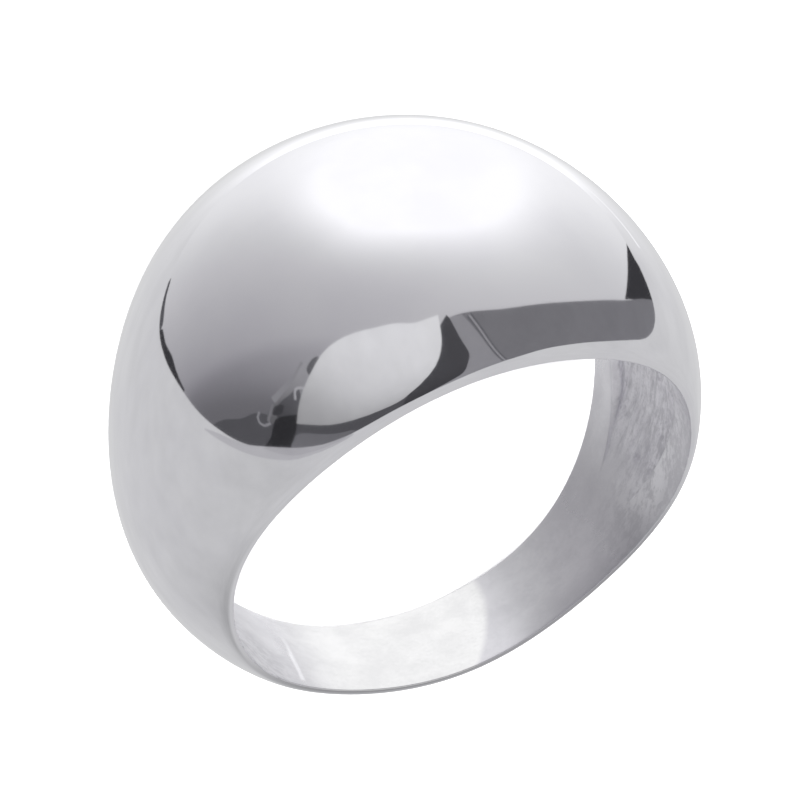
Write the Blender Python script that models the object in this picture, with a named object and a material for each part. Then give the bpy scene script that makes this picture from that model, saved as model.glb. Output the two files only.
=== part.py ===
"""A silver dome ring, one piece of metal, lying on its side.

The ring is lofted in its own frame first: X across the finger, Y along the finger hole, Z up through the dome, with
the origin at the middle of the finger hole. Angles run round the hole from the dome's crest (0) to the back of the
shank (180). The finished ring is then turned so that it lies on one of its flat sides, the dome towards -Y.
"""
import math

import bpy
import numpy as np
from mathutils import Matrix, Vector

MM = 0.001

# The finger hole, a little wider than it is high.
HOLE_HALF_WIDTH = 8.94 * MM
HOLE_HALF_HEIGHT = 8.56 * MM

# Each side of the ring is filed to a flat plane. The two planes spread towards the dome.
SIDE_AT_CENTRE = 5.02 * MM
SIDE_SPREAD = 0.337
FILED_DEPTH = 0.03 * MM

# One row every 30 degrees from the crest to the back of the shank, in millimetres:
# how far the rim stands back from the side plane, how high the crest of the outer face stands over the finger
# hole, how thick the rim is, and the half width and depth of the hollow behind the dome.
COLUMNS = ("angle", "set_back", "crest", "rim", "hollow_width", "hollow_depth")
ROWS = (
    (0, 0.00, 4.37, 0.50, 6.30, 2.60),
    (30, 0.02, 3.79, 0.46, 5.80, 2.25),
    (60, 0.32, 2.69, 0.40, 4.60, 1.40),
    (90, 0.45, 1.87, 0.36, 3.05, 0.65),
    (120, 0.36, 1.15, 0.33, 1.35, 0.18),
    (150, 0.31, 1.00, 0.30, 0.45, 0.00),
    (180, 0.00, 1.15, 0.28, 0.45, 0.00),
)

# The rim's outer edge is rounded over this share of its thickness.
ROUNDED_SHARE = 0.4
EDGE_TIGHTNESS = 30

# The hollow has a short steep wall all round, then a floor that follows the dome.
HOLLOW_WALL_HEIGHT = 0.30 * MM
HOLLOW_WALL_RUN = 0.15 * MM
HOLLOW_LEAST_WIDTH = 0.30 * MM
FLOOR_STEPS = 4

STEPS_AROUND = 96
STEPS_ACROSS = 20
SHARP_EDGE = math.radians(35)

SILVER = (0.90, 0.89, 0.90, 1.0)
POLISH_ROUGHNESS = 0.08


def column_curve(name):
    """A smooth curve of the angle through one column, the same on the ring's left and right."""
    place = COLUMNS.index(name)
    angles = np.radians([row[0] for row in ROWS])
    sizes = np.array([row[place] for row in ROWS]) * MM
    waves = np.arange(len(ROWS))
    weights = np.linalg.solve(np.cos(np.outer(angles, waves)), sizes)
    return lambda angle: float(np.cos(waves * angle) @ weights)


set_back = column_curve("set_back")
crest = column_curve("crest")
rim = column_curve("rim")
hollow_width = column_curve("hollow_width")
hollow_depth = column_curve("hollow_depth")


def side_plane(height):
    """How far the flat side lies from the middle of the ring, at a height over the finger hole's centre."""
    return SIDE_AT_CENTRE + SIDE_SPREAD * height


def point(angle, across, lift):
    """A point of the ring: lift is its height over the finger hole's wall."""
    x = (HOLE_HALF_WIDTH + lift) * math.sin(angle)
    z = (HOLE_HALF_HEIGHT + lift) * math.cos(angle)
    limit = side_plane(z)
    if limit - abs(across) < FILED_DEPTH:
        across = math.copysign(limit, across)
    return Vector((x, across, z))


def outer_points(angle, half_width):
    """The outer face, from one rim to the other: flat side, rounded edge, then the dome's arch."""
    rim_height = rim(angle)
    rounded = ROUNDED_SHARE * rim_height
    side_height = rim_height - rounded
    outer_half = half_width + SIDE_SPREAD * side_height * math.cos(angle)
    points = []
    for step in range(STEPS_ACROSS + 1):
        share = math.sin(math.pi / 2 * (2 * step / STEPS_ACROSS - 1))
        edge = math.sqrt(max(0.0, 1 - abs(share) ** EDGE_TIGHTNESS))
        lift = side_height + rounded * edge + (crest(angle) - rim_height) * (1 - share**2)
        points.append(point(angle, share * outer_half, lift))
    return points


def inner_points(angle, half_width):
    """The inner face, back from the second rim to the first, with the hollow between its two lands."""
    width = max(HOLLOW_LEAST_WIDTH, hollow_width(angle))
    depth = max(0.0, hollow_depth(angle))
    wall = min(HOLLOW_WALL_HEIGHT, depth)
    points = [point(angle, half_width, 0.0), point(angle, width + HOLLOW_WALL_RUN, 0.0)]
    for step in range(-FLOOR_STEPS, FLOOR_STEPS + 1):
        share = -step / FLOOR_STEPS
        points.append(point(angle, share * width, wall + (depth - wall) * (1 - share**2)))
    points += [point(angle, -width - HOLLOW_WALL_RUN, 0.0), point(angle, -half_width, 0.0)]
    return points


def ring_mesh():
    """The closed loft round the finger hole."""
    points = []
    for turn in range(STEPS_AROUND):
        angle = 2 * math.pi * turn / STEPS_AROUND
        half_width = side_plane(HOLE_HALF_HEIGHT * math.cos(angle)) - set_back(angle)
        points += outer_points(angle, half_width) + inner_points(angle, half_width)
    count = len(points) // STEPS_AROUND
    faces = []
    for turn in range(STEPS_AROUND):
        here = turn * count
        ahead = (turn + 1) % STEPS_AROUND * count
        for step in range(count):
            after = (step + 1) % count
            faces.append((here + step, ahead + step, ahead + after, here + after))
    mesh = bpy.data.meshes.new("ring")
    mesh.from_pydata([tuple(p) for p in points], [], faces)
    mesh.validate()
    mesh.shade_smooth()
    mesh.set_sharp_from_angle(angle=SHARP_EDGE)
    return mesh


def polished_silver():
    """Bright, slightly cool silver."""
    material = bpy.data.materials.new("polished_silver")
    material.use_nodes = True
    shader = material.node_tree.nodes["Principled BSDF"]
    shader.inputs["Base Color"].default_value = SILVER
    shader.inputs["Metallic"].default_value = 1.0
    shader.inputs["Roughness"].default_value = POLISH_ROUGHNESS
    return material


def lay_down(ring):
    """Turns the ring onto its flat side and centres it over the origin."""
    turn = Matrix.Rotation(math.atan2(1.0, SIDE_SPREAD), 4, "X")
    turned = [turn @ vertex.co for vertex in ring.data.vertices]
    middle_x = (min(p.x for p in turned) + max(p.x for p in turned)) / 2
    middle_y = (min(p.y for p in turned) + max(p.y for p in turned)) / 2
    lowest = min(p.z for p in turned)
    ring.matrix_world = Matrix.Translation((-middle_x, -middle_y, -lowest)) @ turn


for old in list(bpy.data.objects):
    bpy.data.objects.remove(old, do_unlink=True)

collection = bpy.data.collections.new("silver_dome_ring")
bpy.context.scene.collection.children.link(collection)

ring = bpy.data.objects.new("ring", ring_mesh())
ring.data.materials.append(polished_silver())
collection.objects.link(ring)
lay_down(ring)
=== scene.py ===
"""The looks of a silver dome ring that lies on its side on a pale table.

The ring is built in its own standing frame first, in millimetres: X across the finger, Y along the finger
hole, Z up through the dome, origin at the middle of the hole. It is then turned onto its flat side, where the
frame holds it.
"""
import math

import bmesh
import bpy
import numpy as np
from mathutils import Matrix, Vector, noise


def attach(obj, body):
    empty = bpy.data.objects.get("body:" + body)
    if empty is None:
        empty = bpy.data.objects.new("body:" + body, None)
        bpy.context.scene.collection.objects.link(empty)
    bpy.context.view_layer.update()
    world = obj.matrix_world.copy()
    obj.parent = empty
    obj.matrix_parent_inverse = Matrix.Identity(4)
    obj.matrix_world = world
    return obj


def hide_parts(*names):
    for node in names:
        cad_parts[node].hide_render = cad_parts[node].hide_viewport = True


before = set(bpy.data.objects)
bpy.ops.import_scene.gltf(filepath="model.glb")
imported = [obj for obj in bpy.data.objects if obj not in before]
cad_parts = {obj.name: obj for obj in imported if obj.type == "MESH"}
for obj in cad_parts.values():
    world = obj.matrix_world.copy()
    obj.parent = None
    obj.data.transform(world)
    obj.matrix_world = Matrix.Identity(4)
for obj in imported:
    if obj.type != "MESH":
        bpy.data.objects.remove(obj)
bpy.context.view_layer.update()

# The ring. One piece of cast sterling silver: a high dome that narrows into a slim shank, hollowed out behind
# the dome to save metal. Both sides are filed flat, the outside is polished to a mirror, the inside is rubbed
# to a satin and the hollow keeps its rough cast skin.
MM = 0.001
HOLE_HALF_WIDTH = 8.94
HOLE_HALF_HEIGHT = 8.56
SIDE_AT_CENTRE = 5.02
SIDE_SPREAD = 0.337

# One row every 30 degrees from the crest of the dome to the back of the shank.
COLUMNS = ("angle", "set_back", "crest", "rim", "hollow_width", "hollow_depth")
ROWS = (
    (0, 0.00, 4.37, 0.50, 6.30, 2.60),
    (30, 0.02, 3.79, 0.46, 5.80, 2.25),
    (60, 0.32, 2.69, 0.40, 4.60, 1.40),
    (90, 0.45, 1.87, 0.36, 3.05, 0.65),
    (120, 0.36, 1.15, 0.33, 1.35, 0.18),
    (150, 0.31, 1.00, 0.30, 0.45, 0.00),
    (180, 0.00, 1.15, 0.28, 0.45, 0.00),
)

# The rim's outer edge is rounded over this share of its thickness. Towards both rims the finger hole widens
# by a comfort rounding, and its edges have a small radius, held by close rows of points.
ROUNDED_SHARE = 0.4
EDGE_TIGHTNESS = 30
COMFORT = 0.07
CORNER_RADIUS = 0.04
EDGE_SUPPORT = 0.01

# The hollow has a short steep wall all round, and it fades out between two angles from the crest.
HOLLOW_WALL_HEIGHT = 0.30
HOLLOW_WALL_RUN = 0.15
HOLLOW_LEAST_WIDTH = 0.30
HOLLOW_FADES = 100
HOLLOW_GONE = 130

# The cast skin has its full roughness where the hollow is deeper than this. Its ridges, lumps and pits are
# sized in millimetres, and shifted so that they don't lie on each other.
SKIN_DEPTH = 0.12
LEAST_SKIN = 0.01
RIDGE_LENGTH = 1.6
RIDGE_SPACING = 0.42
RIDGE_HEIGHT = 0.055
LUMP_SIZE = 0.9
LUMP_SHIFT = 7
LUMP_HEIGHT = 0.05
PIT_SIZE = 0.5
PIT_SHIFT = 31
PIT_RARITY = 0.32
PIT_DEPTH = 0.30

STEPS_AROUND = 480
OUTER_STEPS = 64
CORNER_STEPS = 5
LAND_STEPS = 8
WALL_STEPS = 8
FLOOR_STEPS = 60


def column(name, angle):
    """The table's column at each angle, on a smooth curve that is the same left and right."""
    place = COLUMNS.index(name)
    angles = np.radians([row[0] for row in ROWS])
    sizes = np.array([row[place] for row in ROWS])
    waves = np.arange(len(ROWS))
    weights = np.linalg.solve(np.cos(np.outer(angles, waves)), sizes)
    return np.cos(np.outer(angle, waves)) @ weights


def side_plane(height):
    """How far the filed side lies from the middle of the ring, at a height over the finger hole's centre."""
    return SIDE_AT_CENTRE + SIDE_SPREAD * height


def smooth(share):
    """0 up to a share of 0, 1 from a share of 1, and a smooth rise between them."""
    share = np.clip(share, 0, 1)
    return share * share * (3 - 2 * share)


def ring_points():
    """The profile at every step round the hole: how far across and how far out from the hole its points lie.

    Also how much cast skin and how much filed edge there is at each point, and which points lie inside.
    """
    angle = np.linspace(0, 2 * math.pi, STEPS_AROUND, endpoint=False)[:, None]
    turn = angle[:, 0]
    half = side_plane(HOLE_HALF_HEIGHT * np.cos(angle)) - column("set_back", turn)[:, None]
    rim = column("rim", turn)[:, None]
    crest = column("crest", turn)[:, None]
    lean = SIDE_SPREAD * np.cos(angle)

    share = np.sin(math.pi / 2 * np.linspace(-1, 1, OUTER_STEPS + 1))[None]
    side_height = rim * (1 - ROUNDED_SHARE)
    edge = np.sqrt(np.clip(1 - np.abs(share) ** EDGE_TIGHTNESS, 0, 1))
    outer_lift = side_height + rim * ROUNDED_SHARE * edge + (crest - rim) * (1 - share**2)
    outer_across = share * (half + lean * side_height)

    bend = np.linspace(0, math.pi / 2, CORNER_STEPS)[None]
    hole_wall = np.zeros_like(half)
    corner_lift = hole_wall + COMFORT + CORNER_RADIUS * (1 - np.sin(bend))
    corner_across = half - CORNER_RADIUS * (1 - np.cos(bend)) + lean * corner_lift
    under_the_edge = side_height - EDGE_SUPPORT
    over_the_corner = hole_wall + COMFORT + CORNER_RADIUS + EDGE_SUPPORT
    support_lift = np.concatenate([under_the_edge, over_the_corner], axis=1)
    support_across = half + lean * support_lift

    width = np.maximum(HOLLOW_LEAST_WIDTH, column("hollow_width", turn))[:, None]
    depth = np.maximum(0.0, column("hollow_depth", turn))[:, None]
    from_crest = np.degrees(np.minimum(angle, 2 * math.pi - angle))
    depth = depth * smooth((HOLLOW_GONE - from_crest) / (HOLLOW_GONE - HOLLOW_FADES))
    wall = np.minimum(HOLLOW_WALL_HEIGHT, depth)
    brink = width + HOLLOW_WALL_RUN
    land_edge = half - CORNER_RADIUS
    land = land_edge + (brink - land_edge) * np.linspace(0, 1, LAND_STEPS, endpoint=False)[None]
    drop = brink - HOLLOW_WALL_RUN * np.linspace(0, 1, WALL_STEPS, endpoint=False)[None]
    floor = width * np.linspace(1, -1, FLOOR_STEPS + 1)[None]
    inner_across = np.concatenate([land, drop, floor, -drop[:, ::-1], -land[:, ::-1]], axis=1)[:, 1:-1]
    fall = smooth((brink - np.abs(inner_across)) / HOLLOW_WALL_RUN)
    bowl = np.clip(1 - (inner_across / width) ** 2, 0, 1)
    inner_lift = wall * fall + (depth - wall) * bowl + COMFORT * (inner_across / land_edge) ** 2

    far_across = [-corner_across[:, ::-1], -support_across[:, ::-1]]
    far_lift = [corner_lift[:, ::-1], support_lift[:, ::-1]]
    across = np.concatenate([outer_across, support_across, corner_across, inner_across] + far_across, axis=1)
    lift = np.concatenate([outer_lift, support_lift, corner_lift, inner_lift] + far_lift, axis=1)

    outer_count = outer_across.shape[1]
    first_inner = outer_count + support_across.shape[1] + corner_across.shape[1]
    last_inner = first_inner + inner_across.shape[1]
    cast = np.zeros_like(across)
    cast[:, first_inner:last_inner] = fall * np.clip(depth / SKIN_DEPTH, 0, 1)
    filed = np.ones_like(across)
    filed[:, :outer_count] = 1 - edge
    filed[:, first_inner:last_inner] = 0
    inside = slice(first_inner - CORNER_STEPS, last_inner + CORNER_STEPS - 1)
    return angle, across, lift, cast, filed, inside


def cast_skin(points, cast):
    """The rough skin of the hollow: drawn-out ridges that run round the ring, soft lumps and a few pits."""
    relief = np.zeros(cast.shape)
    for i, j in zip(*np.nonzero(cast > LEAST_SKIN)):
        x, y, z = points[i, j]
        ridges = noise.noise(Vector((x / RIDGE_LENGTH, y / RIDGE_SPACING, z / RIDGE_LENGTH)))
        lumps = noise.noise(Vector((x / LUMP_SIZE + LUMP_SHIFT, y / LUMP_SIZE, z / LUMP_SIZE)))
        pits = noise.noise(Vector((x / PIT_SIZE, y / PIT_SIZE + PIT_SHIFT, z / PIT_SIZE))) - PIT_RARITY
        relief[i, j] = RIDGE_HEIGHT * ridges + LUMP_HEIGHT * lumps + PIT_DEPTH * max(0.0, pits)
    return relief * cast


angle, across, lift, cast, filed, inside = ring_points()


def placed(lift):
    """The profile's points at those lifts in the standing frame, clipped to the filed sides."""
    x = (HOLE_HALF_WIDTH + lift) * np.sin(angle)
    z = (HOLE_HALF_HEIGHT + lift) * np.cos(angle)
    limit = side_plane(z)
    return np.stack([x, np.clip(across, -limit, limit), z], axis=-1)


standing = placed(lift)
standing = placed(lift + cast_skin(standing, cast))

lay_down = Matrix.Rotation(math.atan2(1.0, SIDE_SPREAD), 4, "X")
laid = standing.reshape(-1, 3) @ np.array(lay_down.to_3x3()).T * MM
hole_centre = Vector((
    -(laid[:, 0].min() + laid[:, 0].max()) / 2,
    -(laid[:, 1].min() + laid[:, 1].max()) / 2,
    -laid[:, 2].min(),
))

count = across.shape[1]
here = np.arange(STEPS_AROUND)[:, None] * count + np.arange(count)[None]
ahead = np.roll(here, -1, axis=0)
quads = np.stack([here, ahead, np.roll(ahead, -1, axis=1), np.roll(here, -1, axis=1)], axis=-1)
ring_mesh = bpy.data.meshes.new("silver_ring")
ring_mesh.from_pydata((laid + np.array(hole_centre)).tolist(), [], quads.reshape(-1, 4).tolist())
ring_mesh.shade_smooth()

standing_place = ring_mesh.attributes.new("standing_place", "FLOAT_VECTOR", "POINT")
standing_place.data.foreach_set("vector", standing.astype(np.float32).ravel())
for attribute, values in (("cast_skin", cast), ("filed_edge", filed)):
    held = ring_mesh.attributes.new(attribute, "FLOAT", "POINT")
    held.data.foreach_set("value", values.astype(np.float32).ravel())
column_of = np.tile(np.arange(count), STEPS_AROUND)
finish_of = ((column_of >= inside.start) & (column_of < inside.stop)).astype(np.int32)


class Wire:
    """A socket of a node tree. Sums on it add Math nodes, or Vector Math nodes for a vector or a colour."""

    # The Mix node's own numbers for its two colours and for their mix.
    COLOUR_A = 6
    COLOUR_B = 7
    MIXED_COLOUR = 2

    def __init__(self, tree, socket=None):
        self.tree = tree
        self.socket = socket

    def node(self, kind, settings=None, values=None, out=0):
        """Adds any node: its settings first, then the values or wires of its inputs. Gives one output."""
        made = self.tree.nodes.new(kind)
        for name, value in (settings or {}).items():
            setattr(made, name, value)
        for name, value in (values or {}).items():
            if isinstance(value, Wire):
                self.tree.links.new(value.socket, made.inputs[name])
            else:
                made.inputs[name].default_value = value
        return Wire(self.tree, made.outputs[out])

    def sum(self, operation, left, right):
        held = [part.socket.type for part in (left, right) if isinstance(part, Wire)]
        if "VECTOR" in held or "RGBA" in held:
            parts = [p if isinstance(p, Wire) or hasattr(p, "__len__") else (p, p, p) for p in (left, right)]
            return self.node("ShaderNodeVectorMath", {"operation": operation}, dict(enumerate(parts)))
        return self.node("ShaderNodeMath", {"operation": operation}, {0: left, 1: right})

    def __add__(self, other):
        return self.sum("ADD", self, other)

    def __radd__(self, other):
        return self.sum("ADD", other, self)

    def __sub__(self, other):
        return self.sum("SUBTRACT", self, other)

    def __rsub__(self, other):
        return self.sum("SUBTRACT", other, self)

    def __mul__(self, other):
        return self.sum("MULTIPLY", self, other)

    def __rmul__(self, other):
        return self.sum("MULTIPLY", other, self)

    def __rpow__(self, other):
        return self.sum("POWER", other, self)

    def dot(self, direction):
        values = {0: self, 1: tuple(direction)}
        return self.node("ShaderNodeVectorMath", {"operation": "DOT_PRODUCT"}, values, "Value")

    def step(self, start, end):
        """0 at start and before it, 1 at end and past it, smooth between them. End may be the lower one."""
        values = {"Value": self, "From Min": start, "From Max": end}
        return self.node("ShaderNodeMapRange", {"interpolation_type": "SMOOTHSTEP"}, values)

    def tint(self, colour):
        """The colour, made as bright as this wire says."""
        return self.node("ShaderNodeVectorMath", {"operation": "SCALE"}, {0: colour[:3], "Scale": self})

    def blend(self, low, high):
        """From the colour low, where this wire is 0, to the colour high, where it is 1."""
        values = {0: self, self.COLOUR_A: low, self.COLOUR_B: high}
        return self.node("ShaderNodeMix", {"data_type": "RGBA"}, values, self.MIXED_COLOUR)

    def noise(self, scale, detail=2.0, roughness=0.5):
        values = {"Vector": self, "Scale": scale, "Detail": detail, "Roughness": roughness}
        return self.node("ShaderNodeTexNoise", {}, values)


def surface(name):
    """A new material, its main shader node and a wire to build on."""
    material = bpy.data.materials.new(name)
    material.use_nodes = True
    return material, material.node_tree.nodes["Principled BSDF"], Wire(material.node_tree)


def feed(wire, shader, socket):
    wire.tree.links.new(wire.socket, shader.inputs[socket])


SILVER = (0.89, 0.883, 0.915, 1.0)
SILVER_SHADE = (0.86, 0.852, 0.89, 1.0)
SATIN = (0.77, 0.76, 0.796, 1.0)
SATIN_SHADE = (0.70, 0.691, 0.727, 1.0)
STAIN_AND_SHADE_GREY = (0.56, 0.552, 0.588, 1.0)
CAST_GREY = (0.50, 0.493, 0.528, 1.0)
RUBBED_WHITE = (0.85, 0.845, 0.848, 1.0)
RUBBED_SHADE = (0.76, 0.756, 0.762, 1.0)
SHADED_FILED_GREY = (0.44, 0.436, 0.455, 1.0)

POLISH_ROUGHNESS = 0.03
SATIN_ROUGHNESS = 0.11

# How strongly the fine marks catch the light, and how high they are in metres.
POLISH_MARKS = {"Strength": 0.05, "Distance": 0.00002}
SATIN_MARKS = {"Strength": 0.35, "Distance": 0.00003}

# The zones of the finish, its stains and its painted shade and light, in millimetres of the standing
# frame: where each starts, and where it is full.
BEHIND_FINGER = (-1.5, -7.0)
GRIME_ALONG = (-1.0, 1.8)
GRIME_UP = (-7.5, -4.0)
RIM_SHADE_ALONG = (3.3, 4.7)
RIM_SHADE_RIGHT = (-1.0, -5.0)
LOW_WALL = (-2.0, -5.5)
RUBBED_FROM = (-1.9, -1.5)
RUBBED_TO = (6.6, 4.2)
STREAK_FROM = (5.92, 6.05)
STREAK_TO = (6.2, 6.08)
STREAK_NEAR_END = (2.3, 2.0)
STREAK_FAR_END = (-1.4, 0.8)
SIDE_WALLS = (-8.0, -4.5)
UPPER_WALL = (-6.5, 0.0)
FAR_SIDE = (-0.5, -3.0)

# The rubbed lines are shifted, so that no wall lies along a plane of the noise's own grid.
OFF_THE_GRID = (0.37, 0.21, 0.43)


def polished_silver():
    """Mirror polish with a buffing wheel's faint cloud and hair lines.

    The filed edge is rougher behind the finger, and painted dark grey there as painted shade.
    """
    material, shader, wire = surface("polished_silver")
    spot = wire.node("ShaderNodeAttribute", {"attribute_name": "standing_place"}, out="Vector")
    cloud = spot.noise(0.35, 3.0)
    hairs = (spot * (0.25, 14.0, 0.25)).noise(1.0, 3.0, 0.7)
    filed = wire.node("ShaderNodeAttribute", {"attribute_name": "filed_edge"}, out="Fac")
    # Painted shade: behind the finger the filed edge is painted dark grey, for the dark line along the
    # shank's bottom.
    dull_and_shaded = filed * spot.dot((0.0, 0.0, 1.0)).step(*BEHIND_FINGER)
    metal = cloud.step(0.35, 0.7).blend(SILVER, SILVER_SHADE)
    shader.inputs["Metallic"].default_value = 1.0
    feed(dull_and_shaded.blend(metal, SHADED_FILED_GREY), shader, "Base Color")
    finish = POLISH_ROUGHNESS + 0.03 * cloud + 0.02 * hairs.step(0.5, 0.8) + 0.12 * dull_and_shaded
    feed(finish, shader, "Roughness")
    height = 0.8 * cloud + 0.03 * hairs
    feed(wire.node("ShaderNodeBump", {}, {**POLISH_MARKS, "Height": height}), shader, "Normal")
    return material


def inner_silver():
    """Satin rubbed land inside the ring, and the grey pitted skin of the casting in the hollow.

    Low in the finger hole the satin is worn to a pale shine. Near one rim it is stained in blotches, and
    along that rim's edge it is darkened by painted shade.
    """
    material, shader, wire = surface("inner_silver")
    spot = wire.node("ShaderNodeAttribute", {"attribute_name": "standing_place"}, out="Vector")
    skin = wire.node("ShaderNodeAttribute", {"attribute_name": "cast_skin"}, out="Fac")
    right = spot.dot((1.0, 0.0, 0.0))
    along = spot.dot((0.0, 1.0, 0.0))
    up = spot.dot((0.0, 0.0, 1.0))

    rubs = (spot * (0.5, 9.0, 0.5) + OFF_THE_GRID).noise(1.0, 4.0, 0.65)
    cloud = spot.noise(0.7, 5.0, 0.6)
    grain = spot.noise(9.0, 4.0, 0.7)
    streaks = (spot * (0.8, 4.2, 0.8)).noise(1.0, 3.0, 0.6)
    blots = (spot * (1.0, 1.6, 1.0)).noise(1.9, 5.0, 0.7)

    patches = 0.50 * streaks.step(0.42, 0.66) + 0.25 * grain.step(0.42, 0.70) + 0.35 * blots.step(0.46, 0.66)
    near_rim = along.step(*GRIME_ALONG) * up.step(*GRIME_UP)
    stains_and_shade = near_rim * (0.8 * blots + 0.2 * cloud).step(0.44, 0.60)
    # Painted shade: a smooth dark band along the near rim's edge, towards -X, added to the blotchy stains.
    rim_shade = (along - SIDE_SPREAD * up).step(*RIM_SHADE_ALONG) * right.step(*RIM_SHADE_RIGHT)
    stains_and_shade = stains_and_shade + 0.7 * rim_shade
    metal = (0.75 * cloud + 0.25 * grain).step(0.38, 0.62).blend(SATIN, SATIN_SHADE)
    metal = stains_and_shade.blend(metal, STAIN_AND_SHADE_GREY)

    worn_edge = right - 0.15 * along + 0.3 * cloud
    low_wall = up.step(*LOW_WALL)
    rubbed = low_wall * (right - 0.42 * along - 0.10 * along * along).step(*RUBBED_FROM)
    rubbed = rubbed * worn_edge.step(*RUBBED_TO)
    streak = low_wall * worn_edge.step(*STREAK_FROM) * worn_edge.step(*STREAK_TO)
    streak = streak * along.step(*STREAK_FAR_END) * along.step(*STREAK_NEAR_END)
    sides = up.step(*SIDE_WALLS)
    up_the_wall = up.step(*UPPER_WALL)
    far_side = along.step(*FAR_SIDE)
    # Painted light and shade: the satin is painted darker low in the hole and lighter up the wall, most on
    # the far side.
    metal = metal * (0.87 + 0.16 * up_the_wall + 0.14 * up_the_wall * far_side)
    pale = (0.7 * cloud + 0.3 * grain).step(0.35, 0.65).blend(RUBBED_WHITE, RUBBED_SHADE)
    metal = rubbed.blend(metal, pale)
    metal = (0.8 * streak).blend(metal, SILVER)
    shader.inputs["Metallic"].default_value = 1.0
    feed((skin * patches).blend(metal, CAST_GREY), shader, "Base Color")

    finish = SATIN_ROUGHNESS + 0.10 * cloud + 0.05 * rubs + 0.17 * sides - 0.04 * rubbed
    finish = finish - 0.10 * up_the_wall * far_side + skin * (0.12 + 0.10 * grain)
    feed(finish, shader, "Roughness")
    height = 0.12 * cloud + 0.08 * rubs + 0.15 * near_rim * grain + skin * (0.5 * grain + 0.8 * streaks)
    feed(wire.node("ShaderNodeBump", {}, {**SATIN_MARKS, "Height": height}), shader, "Normal")
    return material


silver_ring = bpy.data.objects.new("silver_ring", ring_mesh)
bpy.context.scene.collection.objects.link(silver_ring)
ring_mesh.materials.append(polished_silver())
ring_mesh.materials.append(inner_silver())
ring_mesh.polygons.foreach_set("material_index", finish_of)
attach(silver_ring, "root")
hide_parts("ring")

# The table. A plain matt white board, wide enough to fill any view of the ring. The polished silver sees the
# studio's own board card in its place, so that its tones don't depend on the table's shadow.
TABLE_RADIUS = 3.0
TABLE_CORNER_STEP = 3
TABLE_WHITE = (0.95, 0.95, 0.952, 1.0)
TABLE_GREY = (0.94, 0.94, 0.943, 1.0)
TABLE_GRAIN = 400.0
TABLE_ROUGHNESS = 0.8

table_mesh = bpy.data.meshes.new("table")
turns = np.radians(np.arange(0, 360, TABLE_CORNER_STEP))
table_corners = [(TABLE_RADIUS * math.cos(a), TABLE_RADIUS * math.sin(a), 0.0) for a in turns]
table_mesh.from_pydata(table_corners, [], [list(range(len(table_corners)))])
material, shader, wire = surface("white_board")
spot = wire.node("ShaderNodeTexCoord", out="Object")
feed(spot.noise(TABLE_GRAIN).blend(TABLE_WHITE, TABLE_GREY), shader, "Base Color")
shader.inputs["Roughness"].default_value = TABLE_ROUGHNESS
table_mesh.materials.append(material)
table = bpy.data.objects.new("table", table_mesh)
bpy.context.scene.collection.objects.link(table)
table.visible_glossy = False

# The studio. Even white light falls on the table. The polished silver sees a large soft lamp behind the dome,
# and a room that darkens to a soft grey on the other side. Directions are as seen from the standing ring:
# azimuth from its X axis towards its Y axis, and elevation towards its dome.
WHITE = (1.0, 1.0, 1.0, 1.0)
WHITE_LIGHT = 2.7
ROOM = 0.54
DARKEST = 0.15
DARKEST_SOFTNESS = 0.08
BRIGHTEST = 1.14
BRIGHTEST_SOFTNESS = 0.1

# The light's tint changes as the light grows: dark, then the studio's own, then bright.
DARK_TINT = (0.945, 0.93, 1.0, 1.0)
STUDIO_TINT = (0.985, 0.98, 1.0, 1.0)
BRIGHT_TINT = (0.986, 0.991, 0.994, 1.0)
DARK_TO_STUDIO = (0.15, 0.6)
STUDIO_TO_BRIGHT = (0.55, 0.7)


def aim(azimuth, elevation):
    """The direction of a studio thing, turned with the ring onto the table."""
    a, e = math.radians(azimuth), math.radians(elevation)
    standing_way = Vector((math.cos(e) * math.cos(a), math.cos(e) * math.sin(a), math.sin(e)))
    return lay_down.to_3x3() @ standing_way


def lobe(way, azimuth, elevation, tightness):
    """A soft round patch, 1 at its middle, for a wire that holds a direction."""
    return math.e ** (tightness * (way.dot(aim(azimuth, elevation)) - 1))


def lamp(way):
    return 0.6 * lobe(way, -117, 4, 4.1) + 1.35 * lobe(way, -130, 48, 9.5)


def finish_tree(wire, kind):
    wire.tree.links.new(wire.socket, wire.tree.nodes.new(kind).inputs["Surface"])


world = bpy.data.worlds.new("studio")
bpy.context.scene.world = world
world.use_nodes = True
world.node_tree.nodes.clear()
wire = Wire(world.node_tree)
way = wire.node("ShaderNodeTexCoord", out="Generated")
grey_side = way.dot(aim(-125, 25)).step(0.0, -0.14)
room = ROOM - 1.7 * lobe(way, 36, -32, 2.8) - 0.06 * grey_side + 0.1 * lobe(way, -100, 74, 40)
room = wire.node("ShaderNodeMath", {"operation": "SMOOTH_MAX"}, {0: room, 1: DARKEST, 2: DARKEST_SOFTNESS})
room_and_lamp = {0: room + lamp(way), 1: BRIGHTEST, 2: BRIGHTEST_SOFTNESS}
lit = wire.node("ShaderNodeMath", {"operation": "SMOOTH_MIN"}, room_and_lamp)
seen = lit.step(*DARK_TO_STUDIO).blend(DARK_TINT, STUDIO_TINT)
seen = lit.step(*STUDIO_TO_BRIGHT).blend(seen, BRIGHT_TINT) * lit
mirrored = wire.node("ShaderNodeBackground", {}, {"Color": seen})
plain = wire.node("ShaderNodeBackground", {}, {"Color": WHITE, "Strength": WHITE_LIGHT})
is_mirror = wire.node("ShaderNodeLightPath", out="Is Glossy Ray")
studio_light = wire.node("ShaderNodeMixShader", {}, {0: is_mirror, 1: plain, 2: mirrored})
finish_tree(studio_light, "ShaderNodeOutputWorld")

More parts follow.
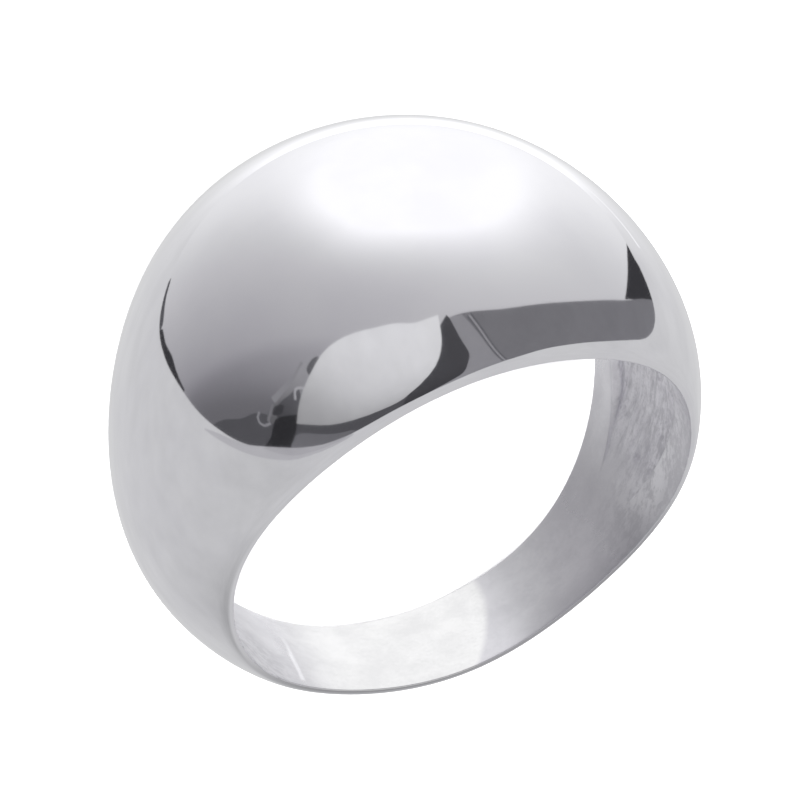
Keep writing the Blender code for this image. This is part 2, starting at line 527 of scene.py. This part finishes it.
# The reflectors. Cards and flags stand round the ring, far outside the picture, and only the polished silver
# sees them: a pale board below, a light window card, and dark and grey flags between the two. The lower the
# layer, the nearer it is and the more it covers.
NEAREST = 1.30
LAYER = 0.04
CARD_STEP = 1.0
WIDE = 0.1
WIDE_CUTS = 7
UNEVENNESS = 0.2

# A card with a lighter tone than the first of these has the bright tint, and one that is darker than the
# second, a share of full white, turns cooler.
BRIGHT_ABOVE = 190
COOL_BELOW = 0.75
COOL_SHADE = 0.13


def smooth_line(corners, closed):
    """Points on a smooth line through (azimuth, elevation) corners. A corner given twice stays sharp."""
    ways = [aim(*corner) for corner in corners]
    count = len(ways)

    def at(k):
        return ways[k % count] if closed else ways[min(max(k, 0), count - 1)]

    points = []
    for k in range(count if closed else count - 1):
        before, start, stop, after = at(k - 1), at(k), at(k + 1), at(k + 2)
        steps = round(math.degrees((stop - start).length) / CARD_STEP)
        for share in np.arange(steps) / max(steps, 1):
            leave, arrive = (stop - before) / 2, (after - start) / 2
            bend = (leave + arrive - 2 * (stop - start)) * share**3
            bend += (3 * (stop - start) - 2 * leave - arrive) * share**2
            points.append((start + leave * share + bend).normalized())
    if not closed:
        points.append(ways[-1])
    return points


def light_for(tone):
    """The light that the silver has to see to show a tone of 0 to 255, by the picture's own tone curve."""
    return ((tone / 255 + 0.055) / 1.055) ** 2.4 / SILVER[1]


def card_mesh(name, ways, faces, distance):
    """A card's mesh, bent round the ring at that distance."""
    mesh = bpy.data.meshes.new(name)
    mesh.from_pydata([tuple(way) for way in ways], [], faces)
    bent = bmesh.new()
    bent.from_mesh(mesh)
    bmesh.ops.triangulate(bent, faces=bent.faces[:])
    wide = [edge for edge in bent.edges if edge.calc_length() > WIDE]
    bmesh.ops.subdivide_edges(bent, edges=wide, cuts=WIDE_CUTS, use_grid_fill=True)
    bmesh.ops.triangulate(bent, faces=bent.faces[:])
    for corner in bent.verts:
        corner.co = corner.co.normalized() * distance
    bent.to_mesh(mesh)
    bent.free()
    return mesh


def card_light(name, lowest, highest, low_tone, high_tone, glow):
    """A card's material, from its low tone at the lowest height to its high one, with a faint cloud.

    The darker the card, the cooler its light. A glow is a function that gives light to add to it.
    """
    material = bpy.data.materials.new(name)
    material.use_nodes = True
    material.node_tree.nodes.clear()
    wire = Wire(material.node_tree)
    spot = wire.node("ShaderNodeTexCoord", out="Object")
    way = wire.node("ShaderNodeVectorMath", {"operation": "NORMALIZE"}, {0: spot})
    low, high = light_for(low_tone), light_for(high_tone)
    rise = way.dot(aim(0, 90)).step(lowest, highest)
    light = (low + (high - low) * rise) * (1 - UNEVENNESS / 2 + UNEVENNESS * spot.noise(5.0, 4.0, 0.6))
    if glow:
        light = light + glow(way)
    lightest = max(low_tone, high_tone)
    tint = BRIGHT_TINT if lightest > BRIGHT_ABOVE else STUDIO_TINT
    coolness = COOL_SHADE * max(0.0, COOL_BELOW - lightest / 255)
    cool = (tint[0] - coolness, tint[1] - coolness, tint[2])
    finish_tree(wire.node("ShaderNodeEmission", {}, {"Color": light.tint(cool)}), "ShaderNodeOutputMaterial")
    material.cycles.emission_sampling = "NONE"
    return material


def hang(name, ways, faces, layer, low_tone, high_tone, glow=None):
    """Hangs a card in the studio. The silver shows it in two tones, from its lowest point to its highest."""
    mesh = card_mesh(name, ways, faces, NEAREST + LAYER * layer)
    heights = [way.dot(aim(0, 90)) for way in ways]
    mesh.materials.append(card_light(name, min(heights), max(heights), low_tone, high_tone, glow))
    hung = bpy.data.objects.new(name, mesh)
    hung.location = hole_centre
    bpy.context.scene.collection.objects.link(hung)
    hung.visible_camera = hung.visible_diffuse = hung.visible_shadow = False


def card(name, layer, tones, corners):
    """Hangs a card of any outline: its layer, its tones at the bottom and the top, and its corners."""
    ways = smooth_line(corners, True)
    hang(name, ways, [list(range(len(ways)))], layer, *tones)


def strip(name, layer, tone, half_width, corners):
    """Hangs a thin strip of card along a smooth line of corners, its half width in degrees."""
    middle = smooth_line(corners, False)
    ways = []
    for k, way in enumerate(middle):
        along = middle[min(k + 1, len(middle) - 1)] - middle[max(k - 1, 0)]
        side = along.cross(way).normalized() * math.radians(half_width)
        ways += [(way + side).normalized(), (way - side).normalized()]
    faces = [(2 * k, 2 * k + 1, 2 * k + 3, 2 * k + 2) for k in range(len(middle) - 1)]
    hang(name, ways, faces, layer, tone, tone)


# The pale board fills everything below this edge. It is darker right under the ring and towards +X, and the
# lamp shows in it too.
BOARD_TONE = 196
BOARD_HOOPS = 6
board_edge = smooth_line((
    (-75, -4), (-60, -1), (-45, 4), (-30, 8), (-10, 10), (5, 12), (19, 19), (30, 23), (50, 25), (90, 28),
    (120, 29), (140, 25), (150, 20), (160, 12), (170, 3), (180, -6), (190, -14), (200, -18), (208, -15),
    (214, -13), (250, -9)), True)
below = aim(0, -90)
hoops = range(1, BOARD_HOOPS + 1)
board_ways = [below.slerp(way, hoop / BOARD_HOOPS) for hoop in hoops for way in board_edge]
around = len(board_edge)
board_faces = []
for hoop in range(BOARD_HOOPS - 1):
    for k in range(around):
        beside = (k + 1) % around
        board_faces.append([corner + hoop * around for corner in (k, beside, beside + around, k + around)])
board_faces.append(list(range(around)))


def board_glow(way):
    shade = 0.15 * lobe(way, 8, -54, 14) + 0.06 * lobe(way, 15, 3, 12)
    shade = shade + 0.12 * lobe(way, -10, -75, 14)
    return 0.2 * lamp(way) + 2.5 * lobe(way, -117, 5, 20) + 0.03 * lobe(way, -60, -40, 6) - shade


hang("board", board_ways, board_faces, 0, BOARD_TONE, BOARD_TONE, board_glow)
card("board_shade", -1, (175, 175), (
    (-12, 7), (-7, 9), (5, 12), (19, 19), (30, 23), (50, 25), (50, 21), (30, 18), (19, 14), (5, 9)))
card("board_dusk", -2, (167, 167), (
    (10, 14), (19, 19), (30, 23), (46, 25), (46, 23), (30, 20), (19, 16)))

# The window card, the small curled hook and clip beside it, and a few thin lines elsewhere.
card("window_card", 1, (148, 214), (
    (121, 64), (121, 64), (110, 59), (98, 54), (88, 49), (79, 43), (70, 38), (45, 36), (20, 28), (20, 28),
    (20, 38), (24, 53), (31, 60), (43, 65), (60, 68), (81, 69), (100, 67)))
strip("hook", 2, 130, 0.4, ((6, 24), (6, 22), (7, 21), (9, 21), (11, 23)))
strip("inner_hook", 2, 116, 0.4, ((10, 23), (10, 26), (10, 29)))
card("hook_shade", 3, (58, 58), ((11, 26), (11, 29), (14, 31), (14, 28)))
strip("clip", 2, 162, 0.4, ((18, 35), (17, 38), (20, 40), (21, 38)))
strip("glint", -3, 250, 0.5, ((-128, -15), (-134, -17), (-141, -20)))
strip("light_line", 3, 143, 0.4, ((137, 56), (134, 50), (129, 40), (125, 30)))
strip("dark_line", 4, 96, 1.2, ((137, 56), (134, 50), (129, 40), (125, 30)))

# The dark and grey flags, round the window card and along the board's edge.
card("low_grey_flag", 4, (108, 104), ((22, 18), (21, 25), (34, 29), (50, 28), (52, 20)))
card("black_patch", 3, (42, 42), (
    (12, 22), (13, 26), (20, 31), (20, 31), (20, 24), (18, 17), (18, 17), (15, 14), (10, 13), (10, 13),
    (12, 19)))
card("dusk_patch", 4, (72, 88), ((13, 26), (12, 30), (15, 35), (18, 39), (21, 34), (20, 29)))
card("stripe_flag", 5, (137, 137), (
    (126, 61), (126, 61), (122, 56), (119, 50), (113, 45), (106, 37), (98, 32), (85, 25), (122, 22),
    (127, 38), (132, 50), (134, 58), (134, 58)))
strip("streak", 6, 132, 1.4, ((10, 30), (13, 36), (16, 42), (17, 47)))
card("spot", 4, (92, 92), ((19, 46), (20, 50), (23, 52), (24, 49), (22, 45)))
card("grey_column", 5, (92, 150), (
    (9, 25), (12, 33), (15, 40), (16, 46), (18, 50), (22, 52), (24, 46), (20, 36), (18, 28), (11, 23)))
card("wedge_flag", 6, (58, 70), (
    (126, 62), (126, 62), (100, 60), (80, 52), (80, 24), (122, 24), (124, 45)))
card("low_dark_flag", 7, (80, 78), (
    (-9, 8), (-7, 13), (0, 18), (5, 23), (12, 26), (20, 30), (45, 40), (80, 52), (90, 15), (40, 8), (0, 2)))
card("grey_flag", 7, (119, 112), (
    (126, 61), (126, 61), (137, 57), (152, 46), (166, 31), (178, 14), (190, -3), (200, -14), (203, -18),
    (197, -22), (180, -20), (150, 0), (120, 12), (118, 50)))
card("black_flag", 8, (58, 58), (
    (191, -4), (191, -4), (203, -18), (203, -18), (218, -16), (218, -16), (206, -10)))
card("sliver_flag", 8, (55, 55), (
    (-57, 1), (-50, 4), (-43, 7), (-37, 8), (-28, 9), (-28, 9), (-28, 4), (-45, 0), (-57, -3)))
card("thin_sliver_flag", 8, (84, 84), ((-72, -3), (-66, -1), (-58, 1), (-58, -3), (-65, -5)))

# The camera. It stands where the photograph was taken from, seen from the ring: 17.5 degrees round from the
# mouth of the finger hole, 38.5 degrees up, and leaning 10.2 degrees, with a very long lens.
YAW = 17.534
PITCH = 38.469
ROLL = -10.189
PIXELS_PER_MM = 27.864
PICTURE_SIDE = 800
DISTANCE = 0.70
SENSOR = 36.0

# How far the hole's middle lies right of the picture's middle and below it, in pixels.
MIDDLE_RIGHT = 11.659
MIDDLE_DOWN = 53.821

yaw, pitch, roll = (math.radians(a) for a in (YAW, PITCH, ROLL))
back = Vector((math.sin(yaw) * math.cos(pitch), math.cos(yaw) * math.cos(pitch), math.sin(pitch)))
level_right = Vector((0, 0, 1)).cross(back).normalized()
level_up = back.cross(level_right)
right = math.cos(roll) * level_right + math.sin(roll) * level_up
up = -math.sin(roll) * level_right + math.cos(roll) * level_up
back, right, up = (lay_down.to_3x3() @ axis for axis in (back, right, up))
off_centre = (up * MIDDLE_DOWN - right * MIDDLE_RIGHT) * MM / PIXELS_PER_MM
camera_place = hole_centre + back * DISTANCE + off_centre

camera = bpy.data.objects.new("camera", bpy.data.cameras.new("camera"))
bpy.context.scene.collection.objects.link(camera)
camera.data.sensor_width = SENSOR
camera.data.lens = PIXELS_PER_MM * DISTANCE / MM * SENSOR / PICTURE_SIDE
camera.matrix_world = Matrix.Translation(camera_place) @ Matrix((right, up, back)).transposed().to_4x4()
bpy.context.scene.camera = camera
bpy.context.scene.view_settings.view_transform = "Standard"
